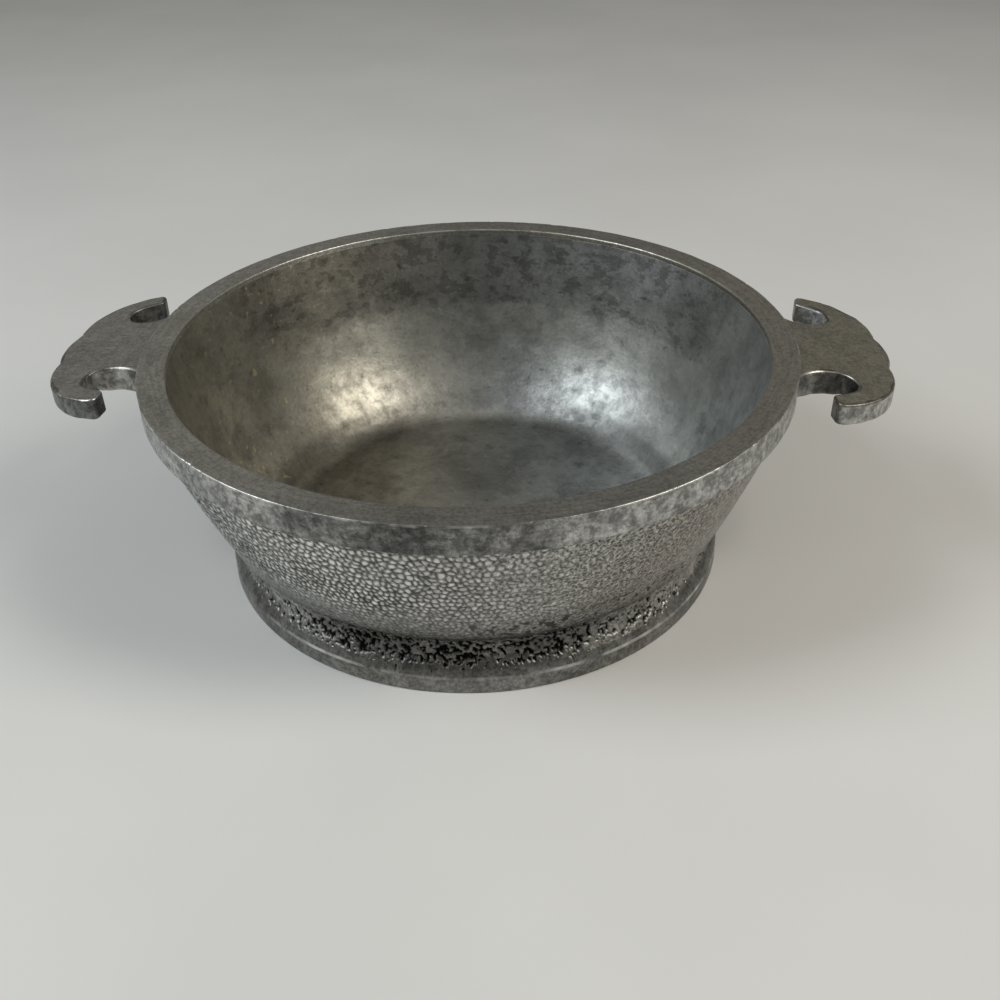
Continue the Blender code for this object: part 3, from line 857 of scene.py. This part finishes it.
def build_foot():
    cove_top = (wall_radius(FOOT_HEIGHT) - 0.3, FOOT_HEIGHT - 0.02)
    lip = (FOOT_RADIUS - FOOT_LIP_WIDTH, FOOT_LIP_TOP)
    cove = arc_between(cove_top, lip, COVE_DEPTH, 36)
    base_centre = (FOOT_RADIUS - FOOT_EDGE_ROUND, FOOT_EDGE_ROUND)
    base_edge = arc(base_centre, FOOT_EDGE_ROUND, 0.0, -90.0, 4)
    band_top = (FOOT_RADIUS, FOOT_BAND_TOP)
    soft_lip = rounded_corner(cove[-7], lip, band_top, FOOT_LIP_ROUND, 6)
    band_edge = rounded_corner(lip, band_top, base_edge[0], FOOT_BAND_ROUND, 6)
    cove = cove[:-6]
    cove += between(cove[-1], soft_lip[0], 6)[1:]
    path = cove + soft_lip + band_edge
    path += between(band_edge[-1], base_edge[0], 6)[1:] + base_edge
    unseen = FOOT_UNDERSIDE + FOOT_SEAT
    path += unseen
    rows = len(path)
    heights = np.array([height for _, height in path])
    radii = np.array([radius for radius, _ in path])
    angle = np.tile(turn_angles(FOOT_COLUMNS), rows)
    radius = np.repeat(radii, FOOT_COLUMNS)
    height = np.repeat(heights, FOOT_COLUMNS)
    index = np.repeat(np.arange(rows), FOOT_COLUMNS)
    flat = np.stack([radius * np.cos(angle), radius * np.sin(angle), height], -1)
    # Casting pits in the cove, ragged and run together, strongest at the front
    step = np.hypot(np.diff(radii), np.diff(heights))
    along = np.repeat(np.concatenate([[0.0], np.cumsum(step)]), FOOT_COLUMNS)
    squat = flat * np.array([1.0, 1.0, 1.3])
    field = 0.62 * lumps(squat, 0.85, 71) + 0.38 * lumps(squat, 0.45, 72)
    strength = 0.30 + 0.42 * within_turn(angle, COVE_PIT_SPAN) + 0.28 * within_turn(angle, DEEP_PIT_SPAN)
    strength = np.maximum(strength, 0.6 * within_turn(angle, BACK_PIT_SPAN))
    strength = strength * (1.0 + 0.25 * lumps(flat, 9.0, 73))
    zone = smoothstep(*COVE_PITS_TOP, along) * smoothstep(*COVE_PITS_END, along) * strength
    limit = -0.62 + 0.60 * np.clip(zone, 0.0, 1.15)
    pitted = index < len(cove) + len(soft_lip)
    hollow = smoothstep(limit + 0.10, limit - 0.12, field) * pitted
    rough = lumps(flat, 0.8, 91) * 0.10 * zone
    relief = (-PIT_DEPTH * hollow + rough) * pitted
    shown = index < rows - len(unseen) - 1
    relief = relief + 0.04 * (lumps(flat, 12.0, 92) - 1.0) * shown
    out = radius + relief
    points = np.stack([out * np.cos(angle), out * np.sin(angle), height], -1)
    # A painted highlight along the edge between lip and band, in patches and left out at the front
    first_edge = len(cove) + len(soft_lip) + 1
    on_edge = (index >= first_edge) & (index < first_edge + 5)
    patchy = 0.5 + 0.9 * lumps(flat, 8.0, 93) + 0.4 * lumps(flat, 1.6, 94)
    edge_highlight = np.clip(patchy, 0.0, 1.0) * on_edge
    edge_highlight = edge_highlight * (1.0 - 0.85 * within_turn(angle, FOOT_SPAN_WITHOUT_HIGHLIGHT))
    verts, faces = stitch(list(points.reshape(rows, FOOT_COLUMNS, 3)), closed=True)
    marks = {"pit": np.clip(hollow * 1.1, 0.0, 1.0), "edge_highlight": edge_highlight}
    make_piece("foot_ring_visual", verts, faces, [cast_metal()], "foot_ring", marks)


def handle_outline():
    # One half of the handle from above, with where its slot starts and how many points are free of the rim
    notch = (RIM_RADIUS + HANDLE_REACH - CENTRE_LOBE_RISE, CENTRE_LOBE_HALF)
    hook_inner = (RIM_RADIUS + HOOK_INNER[0], HOOK_INNER[1])
    hook_outer = (RIM_RADIUS + HOOK_OUTER[0], HOOK_OUTER[1])
    lobe = arc_between((notch[0], -notch[1]), notch, CENTRE_LOBE_RISE, LOBE_STEPS)
    points = lobe[LOBE_STEPS // 2:]
    points += arc_between(notch, hook_outer, SIDE_LOBE_RISE, SIDE_LOBE_STEPS)[1:-3]
    # The hook's inner side runs straight on to the slot's round end, and round that to the neck
    slot = (RIM_RADIUS + SLOT_CENTRE[0], SLOT_CENTRE[1])
    away = (hook_inner[0] - slot[0], hook_inner[1] - slot[1])
    first = atan2(away[1], away[0]) - acos(SLOT_RADIUS / hypot(*away))
    angles = [first + (-pi / 2 - first) * step / SLOT_STEPS for step in range(SLOT_STEPS + 1)]
    pocket = [(slot[0] + SLOT_RADIUS * cos(angle), slot[1] + SLOT_RADIUS * sin(angle)) for angle in angles]
    points += rounded_corner(points[-1], hook_outer, hook_inner, HOOK_OUTER_ROUND, 8)
    points += rounded_corner(hook_outer, hook_inner, pocket[0], HOOK_INNER_ROUND, 6)
    slot_from = len(points)
    points += pocket
    # The neck's fillet touches its side and runs into the rim
    fillet_y = NECK_HALF + NECK_FILLET
    fillet_x = sqrt((HANDLE_ROOT_RADIUS + NECK_FILLET) ** 2 - fillet_y ** 2)
    last = atan2(-fillet_y, -fillet_x) + 0.12
    for step in range(1, FILLET_STEPS + 1):
        angle = -pi / 2 + (last + pi / 2) * step / FILLET_STEPS
        points.append((fillet_x + NECK_FILLET * cos(angle), fillet_y + NECK_FILLET * sin(angle)))
    free = len(points)
    toe = atan2(points[-1][1], points[-1][0])
    for step in range(1, ROOT_STEPS):
        angle = toe * (1 - step / ROOT_STEPS)
        points.append((HANDLE_ROOT_RADIUS * cos(angle), HANDLE_ROOT_RADIUS * sin(angle)))
    return points, slot_from, free


def build_handle(name, turn, material):
    half, slot_from, free = handle_outline()
    whole = half + [(HANDLE_ROOT_RADIUS, 0.0)] + [(x, -y) for x, y in reversed(half[1:])]
    count = len(whole)
    outline = np.array(whole)
    loose = np.ones(count)
    loose[free:count - free + 1] = 0.0
    # Marks the slots, fading along the fillet
    hollow = np.zeros(count)
    for index in range(slot_from, free):
        share = max(0.0, (index - slot_from - SLOT_STEPS) / FILLET_STEPS)
        hollow[index] = 1.0 - 0.8 * share
        hollow[count - index] = hollow[index]
    # The direction inwards at each point of the outline
    ahead = np.roll(outline, -1, 0) - outline
    back = outline - np.roll(outline, 1, 0)
    along = ahead / np.linalg.norm(ahead, axis=1)[:, None] + back / np.linalg.norm(back, axis=1)[:, None]
    along = along / np.linalg.norm(along, axis=1)[:, None]
    inward = np.stack([-along[:, 1], along[:, 0]], -1)
    # The sides of the neck, which lean outwards below
    neck = smoothstep(*NECK_OUT, outline[:, 0]) * smoothstep(*NECK_ASIDE, np.abs(outline[:, 1])) * loose
    place = np.column_stack([outline, np.full(count, turn)])
    soften = np.clip(0.9 + 0.8 * lumps(place, 5.0, 105) + 0.4 * lumps(place, 2.0, 106), 0.25, 1.7)
    # The edge in section: how far in from the outline, and how far down from the top
    path = [(1.5, 0.0), (1.1, 0.0)]
    bend = len(path)
    for a in np.linspace(0, pi / 2, 6):
        path.append((HANDLE_ROUND * (1 - sin(a)), HANDLE_ROUND * (cos(a) - 1)))
    path += [(0.0, -depth) for depth in (1.8, 2.7, 3.6)]
    for a in np.linspace(0, pi / 2, 5):
        path.append((HANDLE_ROUND * (1 - cos(a)), -HANDLE_THICKNESS + HANDLE_ROUND * (1 - sin(a))))
    path.append((1.2, -HANDLE_THICKNESS))
    rings = []
    edge_highlight = []
    side = []
    slot_marks = []
    dull = []
    for index, (offset, drop) in enumerate(path):
        flat = outline + inward * (offset * loose * soften)[:, None]
        share = -drop / HANDLE_THICKNESS
        flat[:, 1] += np.sign(flat[:, 1]) * NECK_DRAFT * share * neck
        outward = (flat[:, 0] - RIM_RADIUS) / HANDLE_REACH
        depth = HANDLE_TOP + drop - HANDLE_FALL * outward - HANDLE_ROOT_DEPTH * (1 - outward) * share
        points = np.stack([flat[:, 0], flat[:, 1], depth], -1)
        uneven = 0.10 + 0.06 * lumps(points, 6.0, 101) + 0.05 * lumps(points, 2.2, 102)
        points[:, :2] += inward * (uneven * loose)[:, None]
        rings.append(points)
        # A painted highlight along the top edges in patches, and dull patches where it breaks
        patchy = np.clip(0.3 + 0.9 * lumps(points, 6.0, 103) + 0.5 * lumps(points, 1.5, 104), 0.0, 1.0)
        edge_highlight.append(patchy * loose * (bend + 1 <= index <= bend + 3))
        dull.append((1.0 - patchy) * loose * (bend <= index <= bend + 4))
        side.append(loose * float(index >= bend + 4))
        slot_marks.append(hollow)
    points, faces = stitch(rings)
    # The flat top, and the same triangles turned over for the underside
    top = tessellate_polygon([[Vector((x, y, 0.0)) for x, y, _ in rings[0]]])
    base = len(points) - count
    for a, b, c in top:
        first = rings[0][b] - rings[0][a]
        second = rings[0][c] - rings[0][a]
        if first[0] * second[1] < first[1] * second[0]:
            b, c = c, b
        faces.append([a, b, c])
        faces.append([base + a, base + c, base + b])
    spin = np.array([[cos(turn), -sin(turn), 0.0], [sin(turn), cos(turn), 0.0], [0.0, 0.0, 1.0]])
    points = points @ spin.T
    node = name.replace("_visual", "")
    rows = {"edge_highlight": edge_highlight, "side": side, "slot": slot_marks, "dull": dull}
    marks = {label: np.concatenate(values) for label, values in rows.items()}
    make_piece(name, points, faces, [material], node, marks)


def build_floor():
    bpy.ops.mesh.primitive_plane_add(size=6.0, location=(0.0, 0.0, 0.0))
    floor = bpy.context.object
    floor.name = "floor"
    shader = Shader("pale_floor")
    cloud = shader.noise(7.0, 3.0, 0.5)
    colour = shader.blend(shader.remap(cloud, 0.3, 0.7), (0.66, 0.665, 0.66), (0.70, 0.705, 0.70))
    shader.feed(shader.surface.inputs["Base Color"], colour)
    shader.surface.inputs["Roughness"].default_value = 0.7
    floor.data.materials.append(shader.material)


def soft_light(name, place, width, height, power, colour):
    lamp = bpy.data.lights.new(name, "AREA")
    lamp.shape = "RECTANGLE"
    lamp.size = width
    lamp.size_y = height
    lamp.energy = power
    lamp.color = colour
    holder = bpy.data.objects.new(name, lamp)
    holder.location = place
    holder.rotation_euler = (Vector(LIGHT_AIM) - Vector(place)).to_track_quat("-Z", "Y").to_euler()
    bpy.context.scene.collection.objects.link(holder)


def build_stage():
    build_floor()
    soft_light(
        "left_window",
        place=(-0.75, -0.26, 0.68),
        width=0.42,
        height=0.68,
        power=6.2,
        colour=(0.93, 0.98, 1.0),
    )
    soft_light(
        "right_window",
        place=(0.75, -0.26, 0.69),
        width=0.30,
        height=0.64,
        power=6.0,
        colour=(1.0, 0.94, 0.84),
    )
    world = bpy.data.worlds.new("studio")
    world.use_nodes = True
    sky = world.node_tree.nodes["Background"]
    sky.inputs["Color"].default_value = SKY_COLOUR
    sky.inputs["Strength"].default_value = 1.0
    bpy.context.scene.world = world


def build_camera():
    data = bpy.data.cameras.new("camera")
    data.sensor_width = SENSOR_WIDTH
    data.lens = LENS
    camera = bpy.data.objects.new("camera", data)
    turn = Matrix.Rotation(radians(CAMERA_TURN), 4, "Z")
    turn = turn @ Matrix.Rotation(radians(90.0 - CAMERA_DIP), 4, "X")
    turn = turn @ Matrix.Rotation(radians(CAMERA_ROLL), 4, "Z")
    camera.matrix_world = Matrix.Translation(CAMERA_PLACE) @ turn
    bpy.context.scene.collection.objects.link(camera)
    bpy.context.scene.camera = camera


build_body()
build_band()
build_foot()
right_metal = handle_metal(
    "right_handle_aluminium",
    lean=0.0,
    face_tint=(0.50, 0.475, 0.395),
    side_tint=(0.56, 0.56, 0.536),
    # Painted shade in the front slot and a painted reflection in the back slot
    front_slot_light_and_shade=(0.18, 0.178, 0.168),
    back_slot_light_and_shade=(0.86, 0.90, 0.94),
)
build_handle("right_handle_visual", 0.0, right_metal)
left_metal = handle_metal(
    "left_handle_aluminium",
    lean=0.6,
    face_tint=(0.575, 0.565, 0.52),
    side_tint=(0.262, 0.267, 0.258),
    front_slot_light_and_shade=(0.62, 0.61, 0.565),
    # Painted shade in the back slot
    back_slot_light_and_shade=(0.28, 0.275, 0.25),
)
build_handle("left_handle_visual", pi, left_metal)
build_stage()
build_camera()

bpy.context.scene.view_settings.view_transform = "Standard"

bpy.context.view_layer.update()
